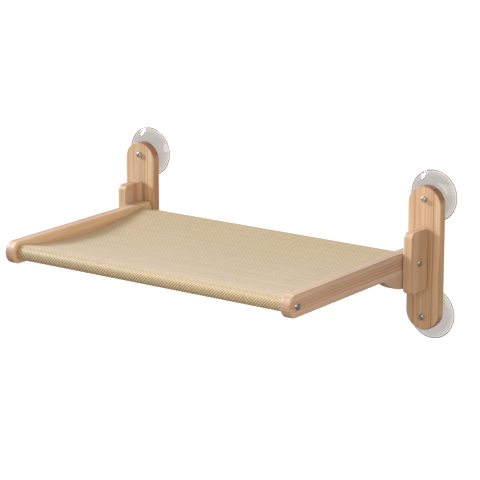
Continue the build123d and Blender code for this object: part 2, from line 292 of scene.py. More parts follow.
def varnished_pine(
    name,
    grain,
    pith,
    seed,
    bands,
    streaks=(),
    end_grain=(0.02, 0.42, 1.0),
    soak=SAWN_END_GRAIN,
    front_sheen=None,
):
    """Planed and varnished pine.

    Pale, straight grain runs the length of the board. Faint darker bands sit between the
    pale ones, and a few narrow latewood lines are strong. End grain drinks the varnish and
    turns darker and redder. The varnish is satin.

    The board is turned so that its grain runs along Z, and its places are in millimetres.
    grain      the axis that the grain follows before that turn
    pith       the tree's middle, seen from the board's end
    seed       which stretch of each pattern the board takes
    bands      the colours of its rings, from pale to dark
    streaks    its lines and zones, some of them painted light and shade: axis, place across
           the board, half width, strength and colour
    end_grain  how square to the fibres a face is where it starts to darken and where that
               is full, and how much of the soak it gets
    soak       how much of each colour soaked end grain gives back
    fade       painted sheen, a paler end of the board: the place along the board where it is
           palest, the place where that has gone, its strength and its colour
    """
    material, tree = new_material(name)
    places = add(tree, "TexCoord", {}).outputs
    board = add(tree, "Mapping", {"Vector": places["Object"], "Scale": (1 / MM,) * 3})
    board = add(tree, "Mapping", {"Vector": board, "Rotation": TURN_GRAIN_TO_Z[grain]})
    shift = tuple(seed * step for step in SEED_STEPS)
    shifted = add(tree, "VectorMath", {0: board, 1: shift}, operation="ADD")

    # The rings wander by a millimetre or two over a hand's length.
    slow = add(tree, "Mapping", {"Vector": shifted, "Scale": WANDER_SCALE})
    wander = add(tree, "TexNoise", {"Vector": slow, "Scale": 1.0, "Detail": 2.0})
    wander = add(tree, "VectorMath", {0: wander.outputs["Color"], 1: (0.5,) * 3}, operation="SUBTRACT")
    wander = add(tree, "VectorMath", {0: wander, "Scale": RING_WANDER}, operation="SCALE")
    bent = add(tree, "VectorMath", {0: board, 1: wander}, operation="ADD")
    flat = add(tree, "VectorMath", {0: bent, 1: (*pith, 0.0)}, operation="SUBTRACT")
    flat = add(tree, "VectorMath", {0: flat, 1: (1.0, 1.0, 0.0)}, operation="MULTIPLY")
    radius = add(tree, "VectorMath", {0: flat}, operation="LENGTH").outputs["Value"]

    # Growth rings, no two alike
    counted = add(tree, "Math", {0: radius, 1: 1 / RING_WIDTH}, operation="MULTIPLY")
    uneven = {"W": counted, "Scale": 1.0, "Detail": 3.0, "Roughness": 0.6}
    ring_noise = add(tree, "TexNoise", uneven, noise_dimensions="1D")
    rings = add(tree, "MapRange", {"Value": ring_noise, "From Min": 0.34, "From Max": 0.72})
    band_places = (0.0, 0.5, 1.0)
    tone = ramp_stops(add(tree, "ValToRGB", {"Fac": rings}), list(zip(band_places, bands)))

    # The strong lines, and the wide zones that are paler or redder than the rest. Some of these
    # zones, and the paler end of each arm, are painted light and shade.
    across = add(tree, "SeparateXYZ", {"Vector": bent}).outputs
    zones = []
    for axis, middle, half_width, strength, colour in streaks:
        off = add(tree, "Math", {0: across[axis], 1: middle}, operation="SUBTRACT")
        off = add(tree, "Math", {0: off}, operation="ABSOLUTE")
        reach = {"From Min": 0.0, "From Max": half_width, "To Min": strength, "To Max": 0.0}
        amount = add(tree, "MapRange", {"Value": off, **reach}, interpolation_type="SMOOTHSTEP")
        zones.append((amount, colour))
    # painted sheen: the board is made paler towards one end
    if front_sheen:
        palest, gone, strength, colour = front_sheen
        reach = {"From Min": palest, "From Max": gone, "To Min": strength, "To Max": 0.0}
        amount = add(tree, "MapRange", {"Value": across["Z"], **reach})
        zones.append((amount, colour))
    for amount, colour in zones:
        tone = add(tree, "Mix", {FACTOR: amount, FIRST: tone, SECOND: linear(colour)}, data_type="RGBA")
        tone = tone.outputs[MIXED]

    # Fibres are a third of a millimetre across and some centimetres long. They are drawn almost a
    # millimetre across, which is as coarse as they need to show. Slow clouds lie over them.
    fine = add(tree, "Mapping", {"Vector": shifted, "Scale": FIBRE_SCALE})
    fibre = add(tree, "TexNoise", {"Vector": fine, "Scale": 1.0, "Detail": 3.0, "Roughness": 0.6})
    patchy = add(tree, "Mapping", {"Vector": shifted, "Scale": CLOUD_SCALE})
    patch = add(tree, "TexNoise", {"Vector": patchy, "Scale": 1.0, "Detail": 1.0})
    shade = add(tree, "MapRange", {"Value": fibre, **NOISE_SPAN, "To Min": 0.94, "To Max": 1.04})
    cloud = add(tree, "MapRange", {"Value": patch, **NOISE_SPAN, "To Min": 0.96, "To Max": 1.04})
    shade = add(tree, "Math", {0: shade, 1: cloud}, operation="MULTIPLY")
    tone = add(tree, "VectorMath", {0: tone, "Scale": shade}, operation="SCALE")

    # End grain, where the surface is square to the fibres
    square = add(tree, "VectorMath", {0: places["Normal"], 1: AXES[grain]}, operation="DOT_PRODUCT")
    square = add(tree, "Math", {0: square.outputs["Value"]}, operation="ABSOLUTE")
    starts, full, share = end_grain
    turn = {"From Min": starts, "From Max": full, "To Max": share}
    cut_across = add(tree, "MapRange", {"Value": square, **turn}, interpolation_type="SMOOTHSTEP")
    soaked = add(tree, "VectorMath", {0: tone, 1: soak}, operation="MULTIPLY")
    tone = add(tree, "Mix", {FACTOR: cut_across, FIRST: tone, SECOND: soaked}, data_type="RGBA")

    gloss = add(tree, "MapRange", {"Value": fibre, **NOISE_SPAN, "To Min": 0.46, "To Max": 0.38})
    relief = add(tree, "Bump", {"Height": fibre, "Strength": 0.35, "Distance": 0.05 * MM})
    varnish = {"Roughness": gloss, "Normal": relief, "IOR": 1.5, "Coat Weight": 0.4, "Coat Roughness": 0.3}
    shader = add(tree, "BsdfPrincipled", {"Base Color": tone.outputs[MIXED], **varnish})
    finish_with(tree, shader)
    return material


# Each board is cut from another place in the tree. The streaks are in the order of their drawing.
# The LIT_EDGE_HIGHLIGHT streaks are painted highlights on the rounded left edges.
BOARDS = {
    "upright_right": {
        "grain": "Z", "pith": (193, 60), "seed": 1, "bands": PLAIN_PINE,
        "streaks": [
            ("X", 284.0, 2.4, 0.6, HEARTWOOD),
            ("X", 291.0, 2.0, 0.3, HEARTWOOD),
            ("X", 320.5, 1.7, 0.7, LATEWOOD),
            ("X", 300.0, 8.0, 0.15, SAPWOOD),
            ("X", 330.0, 6.0, 0.25, SAPWOOD),
            ("X", 270.75, 6.0, 0.4, LIT_EDGE_HIGHLIGHT),
        ],
    },
    "upright_left": {
        "grain": "Z", "pith": (-183, 70), "seed": 2, "bands": PLAIN_PINE,
        "streaks": [
            ("X", -301.0, 2.2, 0.35, HEARTWOOD),
            ("X", -292.0, 2.0, 0.3, HEARTWOOD),
            ("X", -320.0, 2.5, 0.3, SAPWOOD),
            ("X", -279.0, 9.0, 0.35, SAPWOOD),
            ("X", -335.25, 5.0, 0.25, LIT_EDGE_HIGHLIGHT),
            # painted shade: this darker zone covers the upright's right side, which faces away from the
            # key light
            ("X", -269.5, 4.0, 0.55, HEARTWOOD),
        ],
    },
    "pivot_block_right": {
        "grain": "Z", "pith": (420, -60), "seed": 3, "bands": PLAIN_PINE,
        "streaks": [
            ("Y", -76.0, 12.0, 0.3, SAPWOOD),
            ("Y", -59.0, 9.0, 0.25, HEARTWOOD),
            ("Y", -41.0, 4.5, 0.45, SAPWOOD),
            ("X", 302.5, 1.6, 0.25, HEARTWOOD),
            ("X", 295.0, 5.5, 0.35, LIT_EDGE_HIGHLIGHT),
        ],
        "end_grain": (0.5, 0.95, 0.15),
    },
    "pivot_block_left": {
        "grain": "Z", "pith": (-420, -60), "seed": 4, "bands": PLAIN_PINE,
        "streaks": [
            ("Y", -57.0, 12.0, 0.55, HEARTWOOD),
            ("Y", -34.5, 1.6, 0.7, LATEWOOD),
            ("Y", -41.0, 4.5, 0.3, SAPWOOD),
            ("X", -304.0, 2.0, 0.25, HEARTWOOD),
            ("X", -313.0, 6.0, 0.3, LIT_EDGE_HIGHLIGHT),
        ],
        "end_grain": (0.5, 0.95, 0.15),
    },
    "arm_right": {
        "grain": "Y", "pith": (380, 40), "seed": 5, "bands": PINK_PINE,
        "streaks": [
            ("Y", -4.0, 2.6, 0.6, HEARTWOOD),
            ("Y", -0.5, 1.3, 0.5, HEARTWOOD),
            ("Y", 1.7, 1.5, 0.75, HEARTWOOD),
            ("Y", 7.3, 2.0, 0.65, HEARTWOOD),
            ("X", 275.0, 3.5, 0.2, LIT_EDGE_HIGHLIGHT),
            ("Y", -12.0, 4.0, 0.25, SAPWOOD),
        ],
        "end_grain": (0.3, 0.75, 1.0),
        "soak": SANDED_END_GRAIN,
        # painted sheen: the arm is made paler towards its front
        "front_sheen": (-400.0, -130.0, 0.35, SAPWOOD),
    },
    "arm_left": {
        "grain": "Y", "pith": (-380, 40), "seed": 6, "bands": PINK_PINE,
        "streaks": [
            # painted light over the left arm's inner face, which is lit from the right
            ("X", -275.0, 7.0, 0.85, LIT_INNER_FACE_PINE),
            ("X", -294.0, 4.0, 0.2, LIT_EDGE_HIGHLIGHT),
            ("X", -286.5, 4.0, 0.2, HEARTWOOD),
            ("Y", 15.0, 16.0, 0.5, HEARTWOOD),
            ("Y", -5.0, 1.8, 0.2, HEARTWOOD),
            ("Y", -1.5, 4.0, 0.3, HEARTWOOD),
        ],
        "end_grain": (0.55, 0.95, 1.0),
        "soak": SANDED_END_GRAIN,
        # painted sheen: the arm is made paler towards its front
        "front_sheen": (-400.0, -130.0, 0.35, SAPWOOD),
    },
    "front_dowel": {"grain": "X", "pith": (30, 400), "seed": 7, "bands": PLAIN_PINE},
    "rear_dowel": {"grain": "X", "pith": (30, 90), "seed": 8, "bands": PLAIN_PINE},
}


def dress_boards():
    """Gives each board and each dowel pine of its own."""
    for node_name, figure in BOARDS.items():
        dress(node_name, varnished_pine(node_name.removeprefix("pivot_") + "_pine", **figure))


# ---- Metal and plastic ----


def polished_steel(name):
    """Stainless steel, turned and polished. It mirrors the studio, with a slight haze."""
    material, tree = new_material(name)
    place = add(tree, "TexCoord", {}).outputs["Object"]
    polishing_marks = 0.8 * MM
    scratches = add(tree, "TexNoise", {"Vector": place, "Scale": 1 / polishing_marks, "Detail": 2.0})
    haze = add(tree, "MapRange", {"Value": scratches, **NOISE_SPAN, "To Min": 0.26, "To Max": 0.36})
    tint = ramp_stops(add(tree, "ValToRGB", {"Fac": scratches}), [(0.3, "#D2CFCB"), (0.7, "#E6E3DF")])
    shader = add(tree, "BsdfPrincipled", {"Base Color": tint, "Metallic": 1.0, "Roughness": haze})
    finish_with(tree, shader)
    return material


def plated_metal(name, dull, bright, roughness):
    """Zinc plate or turned brass: a plain metal with a faintly mottled surface."""
    material, tree = new_material(name)
    place = add(tree, "TexCoord", {}).outputs["Object"]
    blotches = 1.5 * MM
    mottle = add(tree, "TexNoise", {"Vector": place, "Scale": 1 / blotches, "Detail": 3.0})
    tint = ramp_stops(add(tree, "ValToRGB", {"Fac": mottle}), [(0.35, dull), (0.65, bright)])
    haze = {"To Min": roughness, "To Max": roughness + 0.12}
    matt = add(tree, "MapRange", {"Value": mottle, **NOISE_SPAN, **haze})
    shader = add(tree, "BsdfPrincipled", {"Base Color": tint, "Metallic": 1.0, "Roughness": matt})
    finish_with(tree, shader)
    return material


def moulded_nylon(name):
    """Natural nylon, moulded. Milky and faintly uneven."""
    material, tree = new_material(name)
    place = add(tree, "TexCoord", {}).outputs["Object"]
    flow_marks = 4 * MM
    mottle = add(tree, "TexNoise", {"Vector": place, "Scale": 1 / flow_marks, "Detail": 2.0})
    tint = ramp_stops(add(tree, "ValToRGB", {"Fac": mottle}), [(0.35, "#DDD9CE"), (0.65, "#EAE7DE")])
    nylon = {"Base Color": tint, "Roughness": 0.45, "IOR": 1.53, "Subsurface Weight": 0.1}
    shader = add(tree, "BsdfPrincipled", nylon)
    finish_with(tree, shader)
    return material


def clear_pvc(name):
    """Soft clear PVC, moulded in a polished tool and faintly grey.

    It gets greyer with thickness, so the dome is grey and the thin lip is nearly white. A dark
    line round the lip's edge and a fainter one over the hollow's edge are painted: they stand in
    for the darkness that these edges show by refraction. Its face is never quite even, so
    highlights break up. The tint runs by the distance from the cup's axis.
    """
    material, tree = new_material(name)
    place = add(tree, "TexCoord", {}).outputs["Object"]
    across = add(tree, "VectorMath", {0: place, 1: (1.0, 0.0, 1.0)}, operation="MULTIPLY")
    from_axis = add(tree, "VectorMath", {0: across}, operation="LENGTH").outputs["Value"]
    share = add(tree, "Math", {0: from_axis, 1: CUP_RADIUS * MM}, operation="DIVIDE")
    # painted refraction: the darker stops at 0.905 and 0.975 draw the lines that the edges show
    tint = ramp_stops(
        add(tree, "ValToRGB", {"Fac": share}),
        [
            (0.30, "#B0AEAD"),
            (0.80, "#B4B2B1"),
            (0.88, "#C4C2C1"),
            (0.905, "#AFADAC"),
            (0.93, "#DCDBDA"),
            (0.955, "#E2E1E0"),
            (0.975, "#7C7978"),
        ],
    )

    cloudiness = 16 * MM
    unevenness = 12 * MM
    thinnest, thickest = 0.95, 1.04
    clouds = add(tree, "TexNoise", {"Vector": place, "Scale": 1 / cloudiness, "Detail": 2.0})
    clouds = add(tree, "MapRange", {"Value": clouds, **NOISE_SPAN, "To Min": thinnest, "To Max": thickest})
    tint = add(tree, "VectorMath", {0: tint, "Scale": clouds}, operation="SCALE")
    flow = add(tree, "TexNoise", {"Vector": place, "Scale": 1 / unevenness, "Detail": 1.0})
    relief = add(tree, "Bump", {"Height": flow, "Strength": 0.3, "Distance": 0.5 * MM})
    haze = {"From Min": thinnest, "From Max": thickest, "To Min": 0.03, "To Max": 0.07}
    bloom = add(tree, "MapRange", {"Value": clouds, **haze})
    clear = {"Roughness": bloom, "IOR": 1.52, "Transmission Weight": 1.0, "Normal": relief}
    shader = add(tree, "BsdfPrincipled", {"Base Color": tint, **clear})
    finish_with(tree, shader)
    return material


def dress_fittings():
    """Gives the screws, the inserts and the washers their finishes."""
    steel = polished_steel("polished_steel")
    zinc = plated_metal("zinc_plate", dull="#9FA3A6", bright="#B9BCBE", roughness=0.32)
    brass = plated_metal("turned_brass", dull="#B08D4C", bright="#CBA761", roughness=0.28)
    nylon = moulded_nylon("moulded_nylon")
    finish_of = {
        "cup_screw": steel,
        "pivot_screw": steel,
        "front_dowel_screw": steel,
        "block_screw": zinc,
        "cup_insert": brass,
        "front_dowel_insert": brass,
        "rear_dowel_insert": brass,
        "pivot_washer": nylon,
    }
    for node_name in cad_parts:
        for start, material in finish_of.items():
            if node_name.startswith(start):
                dress(node_name, material)


# ---- Cloth and thread ----

THREAD_PITCH = 1.34  # millimetres
TWILL_REPEAT = 4  # threads
COUNTER_REPEAT = 6  # threads, for the fainter ridges that cross the twill
COUNTER_HEIGHT = 0.3  # share of a twill ridge
THREAD_HEIGHT = 0.22  # the same for a single thread
WEAVE_REACH = 1.5  # nearly all of the weave lies within this much of its middle
FLAT_RIDGES = 0.42  # how much of a ridge is left where the cloth is tight
YARN_CHANGES = 0.22  # changes of tone for each thread

# Lengths along the cloth in millimetres, from the top of the front sleeve
RIDGES_FLATTEN = (-23.0, -11.0)
SHEET_STARTS = (-17.0, -2.0)
# the painted sheen fades out between these two lengths
SHEEN_FADES = (0.0, 330.0)

# How much of each colour the cloth gives back: painted sheen on the front of the sheet, a
# deeper tone behind it and on the front sleeve, and painted shade on the front sleeve
LOW_SHEEN_YARN = (0.95, 0.94, 0.93)
HIGH_SHEEN_YARN = (1.08, 1.11, 1.25)
# painted shade on the front sleeve
SHADED_SLEEVE_YARN = (0.86, 0.84, 0.80)


def woven_straw(name, front_crown):
    """Straw-coloured yarn in a two-over, two-under twill.

    The ridges run diagonally and the light yarn stands over gaps that are painted darker, as
    painted shade. They are deep on the face of the front sleeve, and lie flat over its top and
    behind it, where the cloth is pulled tight. Fibres that stand up from the yarn make it look
    pale where it is seen at a low angle. front_crown is the length along the cloth to the top
    of the front sleeve.
    """
    material, tree = new_material(name)
    lay = add(tree, "UVMap", {}, uv_map="threads").outputs["UV"]
    warp_way, weft_way = add(tree, "SeparateXYZ", {"Vector": lay}).outputs[:2]
    warp = add(tree, "Math", {0: warp_way, 1: THREAD_PITCH * MM}, operation="DIVIDE")
    weft = add(tree, "Math", {0: weft_way, 1: THREAD_PITCH * MM}, operation="DIVIDE")

    def along_cloth(lengths, levels, **settings):
        """A level that goes from the first to the second between two lengths along the cloth."""
        start, end = ((front_crown + length) * MM for length in lengths)
        first, second = levels
        change = {"From Min": start, "From Max": end, "To Min": first, "To Max": second}
        return add(tree, "MapRange", {"Value": weft_way, **change}, **settings)

    # Twill ridges, the threads in them, and the fainter ridges that cross them
    ridge = add(tree, "Math", {0: warp, 1: weft}, operation="SUBTRACT")
    ridge = add(tree, "Math", {0: ridge, 1: math.tau / TWILL_REPEAT}, operation="MULTIPLY")
    ridge = add(tree, "Math", {0: ridge}, operation="SINE")
    rounds = []
    for way in (warp, weft):
        turned = add(tree, "Math", {0: way, 1: math.tau}, operation="MULTIPLY")
        rounds.append(add(tree, "Math", {0: turned}, operation="COSINE"))
    threads = add(tree, "Math", {0: rounds[0], 1: rounds[1]}, operation="ADD")
    threads = add(tree, "Math", {0: threads, 1: THREAD_HEIGHT}, operation="MULTIPLY")
    counter = add(tree, "Math", {0: warp, 1: weft}, operation="ADD")
    counter = add(tree, "Math", {0: counter, 1: math.tau / COUNTER_REPEAT}, operation="MULTIPLY")
    counter = add(tree, "Math", {0: counter}, operation="SINE")
    counter = add(tree, "Math", {0: counter, 1: COUNTER_HEIGHT}, operation="MULTIPLY")
    depth = along_cloth(RIDGES_FLATTEN, (1.0, FLAT_RIDGES), interpolation_type="SMOOTHSTEP")
    height = add(tree, "Math", {0: ridge, 1: threads}, operation="ADD")
    height = add(tree, "Math", {0: height, 1: counter}, operation="ADD")
    height = add(tree, "Math", {0: height, 1: depth}, operation="MULTIPLY")
    height = add(tree, "MapRange", {"Value": height, "From Min": -WEAVE_REACH, "From Max": WEAVE_REACH})
    # painted shade: the colour darkens from the tops of the yarn down into the gaps between them
    tone = ramp_stops(
        add(tree, "ValToRGB", {"Fac": height}),
        [(0.0, "#6E5E42"), (0.35, "#A89874"), (0.7, "#CCC7AE"), (1.0, "#DFE1D5")],
    )

    # The front of the sheet is painted paler, as painted sheen where it is seen at a low angle;
    # the back of the sheet and the front sleeve keep a deeper tone. The front sleeve is painted
    # darker still, as painted shade.
    sheen_share = along_cloth(SHEEN_FADES, (1.0, 0.0))
    on_sheet = along_cloth(SHEET_STARTS, (0.0, 1.0), interpolation_type="SMOOTHSTEP")
    sheen_share = add(tree, "Math", {0: sheen_share, 1: on_sheet}, operation="MULTIPLY")
    golden = add(tree, "VectorMath", {0: tone, 1: LOW_SHEEN_YARN}, operation="MULTIPLY")
    pale = add(tree, "VectorMath", {0: tone, 1: HIGH_SHEEN_YARN}, operation="MULTIPLY")
    tone = add(tree, "Mix", {FACTOR: sheen_share, FIRST: golden, SECOND: pale}, data_type="RGBA")
    tone = tone.outputs[MIXED]
    # painted shade: the front sleeve is darkened
    shaded_sleeve = add(tree, "VectorMath", {0: tone, 1: SHADED_SLEEVE_YARN}, operation="MULTIPLY")
    tone = add(tree, "Mix", {FACTOR: on_sheet, FIRST: shaded_sleeve, SECOND: tone}, data_type="RGBA")
    tone = tone.outputs[MIXED]

    # Yarns differ a little from one to the next, in both directions.
    for way, seed in ((warp, 3.1), (weft, 8.7)):
        counted = add(tree, "Math", {0: way, 1: seed}, operation="ADD")
        changes = {"W": counted, "Scale": YARN_CHANGES, "Detail": 3.0}
        yarn = add(tree, "TexNoise", changes, noise_dimensions="1D")
        shade = add(tree, "MapRange", {"Value": yarn, **NOISE_SPAN, "To Min": 0.93, "To Max": 1.05})
        tone = add(tree, "VectorMath", {0: tone, "Scale": shade}, operation="SCALE")
    relief = add(tree, "Bump", {"Height": height, "Strength": 0.8, "Distance": 0.35 * MM})
    fluff = {"Sheen Weight": 0.3, "Sheen Roughness": 0.35, "IOR": 1.5}
    shader = add(tree, "BsdfPrincipled", {"Base Color": tone, "Roughness": 0.5, "Normal": relief, **fluff})
    finish_with(tree, shader)
    return material


def spun_thread(name):
    """Spun polyester sewing thread, dyed to match the cloth. Matt, with a faint twist."""
    material, tree = new_material(name)
    place = add(tree, "TexCoord", {}).outputs["Object"]
    strand = 0.5 * MM
    twist = add(tree, "TexNoise", {"Vector": place, "Scale": 1 / strand, "Detail": 2.0})
    tone = ramp_stops(add(tree, "ValToRGB", {"Fac": twist}), [(0.3, "#B39C72"), (0.7, "#CDB88E")])
    relief = add(tree, "Bump", {"Height": twist, "Strength": 0.5, "Distance": 0.08 * MM})
    matt = add(tree, "MapRange", {"Value": twist, **NOISE_SPAN, "To Min": 0.75, "To Max": 0.6})
    shader = add(tree, "BsdfPrincipled", {"Base Color": tone, "Roughness": matt, "Normal": relief})
    finish_with(tree, shader)
    return material


# ---- The sling's section, in millimetres ----

FLAP_CLEARANCE = 0.1  # between the sheet and the flap that is sewn under it
FLAP_BEFORE_SEAM = 6.0
FLAP_PAST_SEAM = 4.0
FLAP_SPACING = 3.0  # between rows of the mesh
ROLL_SPACING = 2.0
SHEET_SPACING = 4.0


def arc_points(centre, radius, start, end, spacing):
    """Points on an arc from one angle to another, in radians."""
    count = max(2, int(round(abs(end - start) * radius / spacing)))
    angles = np.linspace(start, end, count + 1)
    return np.column_stack([centre[0] + radius * np.cos(angles), centre[1] + radius * np.sin(angles)])


def half_section(dowel_y, dowel_radius, towards, low_y, low_z):
    """The cloth's middle line from a flap's end round its dowel to the lowest line, in YZ.

    towards is 1 where the sheet lies behind the dowel and -1 where it lies in front of it.
    """
    half = CLOTH_THICKNESS / 2
    outer = dowel_radius + SLEEVE_GAP + CLOTH_THICKNESS
    roll = outer - half
    reach = abs(low_y - dowel_y)
    sag_radius = (reach**2 + low_z**2 - outer**2) / (2 * (outer - low_z))
    sag_centre = np.array([low_y, low_z + sag_radius])
    sag_line = sag_radius + half
    dowel = np.array([dowel_y, 0.0])
    top_angle = math.atan2(sag_centre[1], sag_centre[0] - dowel_y)

    flap_line = sag_line + CLOTH_THICKNESS + FLAP_CLEARANCE
    flap_starts_y = dowel_y + towards * (SLEEVE_LENGTH + FLAP_PAST_SEAM)
    flap_leaves_y = dowel_y + towards * (SLEEVE_LENGTH - FLAP_BEFORE_SEAM)
    start = -math.pi / 2 + math.asin((flap_starts_y - low_y) / flap_line)
    stop = -math.pi / 2 + math.asin((flap_leaves_y - low_y) / flap_line)
    flap = arc_points(sag_centre, flap_line, start, stop, FLAP_SPACING)

    # From the flap the cloth runs straight to the underside of the roll.
    to_flap = flap[-1] - dowel
    gap_angle = math.acos(roll / np.linalg.norm(to_flap))
    under_angle = math.atan2(to_flap[1], to_flap[0]) - towards * gap_angle
    tangent = dowel + roll * np.array([math.cos(under_angle), math.sin(under_angle)])
    steps = max(2, int(np.linalg.norm(tangent - flap[-1]) / FLAP_SPACING))
    run = np.linspace(flap[-1], tangent, steps + 1)

    # It goes round the far side of the dowel and over its top, and sags from there.
    if towards > 0 and under_angle < 0:
        under_angle += math.tau
    elif towards < 0 and under_angle >= 0:
        under_angle -= math.tau
    around = arc_points(dowel, roll, under_angle, top_angle, ROLL_SPACING)
    leaves = math.atan2(around[-1][1] - sag_centre[1], around[-1][0] - sag_centre[0])
    sag = arc_points(sag_centre, sag_line, leaves, -math.pi / 2, SHEET_SPACING)
    return np.vstack([flap, run[1:], around[1:], sag[1:]])


def sling_section():
    """The whole middle line of the cloth, from the front flap to the rear one."""
    low_y = FRONT_DOWEL_Y + LOW_POINT
    low_z = FRONT_DOWEL_RADIUS + SLEEVE_GAP + CLOTH_THICKNESS - SAG
    front = half_section(FRONT_DOWEL_Y, FRONT_DOWEL_RADIUS, 1, low_y, low_z)
    rear = half_section(REAR_DOWEL_Y, REAR_DOWEL_RADIUS, -1, low_y, low_z)
    return np.vstack([front, rear[::-1][1:]])


# ---- The sling's cloth as it hangs ----

SETTLING_FRAMES = 20
LARGEST_MOVE = 2.5  # millimetres
NO_MOVE = 1e-9
HEM_DRAW = 14.0  # millimetres from the hem in which the sewing draws the cloth in
DRAW_PATCH = (0.09, 0.05)  # metres, the size of the patches that are drawn in unevenly
DRAW_MIDDLE = 0.5
DRAW_SPREAD = 0.9
MOST_DRAW = 0.004  # share of its length that drawn cloth loses

# How the cloth stands over its even sag, in millimetres across it (u) and along it (v)
PUCKER_DEPTH = 0.35
PUCKER_WIDTH = 5.0
PUCKER_SIZE = (9.0, 30.0)
PUCKER_CHANGE = 0.7  # how uneven the puckers are, as a share of their depth
UNEVENNESS = 0.45
HILL_SIZE = (90.0, 90.0 / 2.2)
WAVE_HEIGHT = 0.85
WAVE_LENGTH = 52.0
WAVE_DRIFT = 6.0  # how far a crest strays from a straight line
DRIFT_SIZE = (120.0, 120.0)
FIRST_CREST = 45.0  # behind the front seam
WAVES_ACROSS = (-90.0, 60.0)  # where they start and where they are full
WAVES_ALONG = (130.0, 70.0)  # the same, behind the front seam
FREE_OF_FRONT_SEAM = (4.0, 30.0)  # distance from the seam where relief starts and where it is full
FREE_OF_REAR_SEAM = (4.0, 60.0)
DENT_PLACE = (-210.0, 148.0)  # across, and behind the front seam
DENT_SIZE = (45.0, 16.0)
DENT_DEPTH = 0.6


def woven_grid(name, points, across, along):
    """A sheet of cloth from rows of points in metres. Its UV map holds the thread lengths."""
    rows, width = points.shape[:2]
    faces = [
        (r * width + c, r * width + c + 1, (r + 1) * width + c + 1, (r + 1) * width + c)
        for r in range(rows - 1)
        for c in range(width - 1)
    ]
    mesh = bpy.data.meshes.new(name)
    mesh.from_pydata(points.reshape(-1, 3).tolist(), [], faces)
    threads = mesh.uv_layers.new(name="threads")
    for loop in mesh.loops:
        row, column = divmod(loop.vertex_index, width)
        threads.data[loop.index].uv = (across[column] * MM, along[row] * MM)
    mesh.shade_smooth()
    sheet = bpy.data.objects.new(name, mesh)
    bpy.context.collection.objects.link(sheet)
    return sheet


def thicken(sheet):
    """Gives a sheet its thickness, half to each side."""
    thick = sheet.modifiers.new("thickness", "SOLIDIFY")
    thick.thickness = CLOTH_THICKNESS * MM
    thick.offset = 0.0


def hills(u, v, size, seed):
    """Smooth uneven ground from -1 to 1, with hills of a size (across, along) and no chance in it."""
    return noise.noise(Vector((u / size[0], v / size[1], seed)))


def settle(sheet, points, free):
    """Lets the cloth between the sleeves find its own shape by simulation, and keeps the result.

    The sleeves are held. Stitching has drawn the cloth in a little along the hems, and by an
    uneven amount over the sheet, so it comes to rest with slight puckers.
    """
    rows, width = points.shape[:2]
    held = sheet.vertex_groups.new(name="held")
    held.add([r * width + c for r in range(rows) if not free[r] for c in range(width)], 1.0, "REPLACE")
    drawn_in = sheet.vertex_groups.new(name="drawn_in")
    column_width = 2 * SLING_HALF_WIDTH / (width - 1)
    for r in range(rows):
        for c in range(width):
            from_edge = min(c, width - 1 - c) * column_width
            patch = hills(points[r, c, 0], points[r, c, 1], DRAW_PATCH, seed=3.7)
            amount = max(0.0, DRAW_MIDDLE + DRAW_SPREAD * patch) + math.exp(-((from_edge / HEM_DRAW) ** 2))
            drawn_in.add([r * width + c], min(1.0, amount), "REPLACE")
    cloth = sheet.modifiers.new("cloth", "CLOTH")
    cloth.settings.quality = 5
    cloth.settings.mass = 0.3
    cloth.settings.tension_stiffness = 40.0
    cloth.settings.compression_stiffness = 40.0
    cloth.settings.shear_stiffness = 20.0
    cloth.settings.bending_stiffness = 2.0
    cloth.settings.tension_damping = 25.0
    cloth.settings.vertex_group_mass = "held"
    cloth.settings.vertex_group_shrink = "drawn_in"
    cloth.settings.shrink_min = 0.0
    cloth.settings.shrink_max = MOST_DRAW
    cloth.settings.effector_weights.gravity = 0.3
    cloth.collision_settings.use_collision = False
    cloth.point_cache.frame_start = 1
    cloth.point_cache.frame_end = SETTLING_FRAMES
    scene = bpy.context.scene
    for moment in range(1, SETTLING_FRAMES + 1):
        scene.frame_set(moment)
    seen = sheet.evaluated_get(bpy.context.evaluated_depsgraph_get())
    settled = np.empty(rows * width * 3)
    seen.data.vertices.foreach_get("co", settled)
    settled = settled.reshape(rows, width, 3)
    scene.frame_set(1)
    sheet.modifiers.remove(cloth)
    sheet.vertex_groups.clear()
    move = settled - points
    reach = np.linalg.norm(move, axis=2, keepdims=True)
    return points + move * np.minimum(1.0, LARGEST_MOVE * MM / np.maximum(reach, NO_MOVE))


def slow_rise(value, start, full):
    """0 up to start, 1 from full on and a smooth rise between. full may lie below start."""
    t = min(1.0, max(0.0, (value - start) / (full - start)))
    return t * t * (3 - 2 * t)


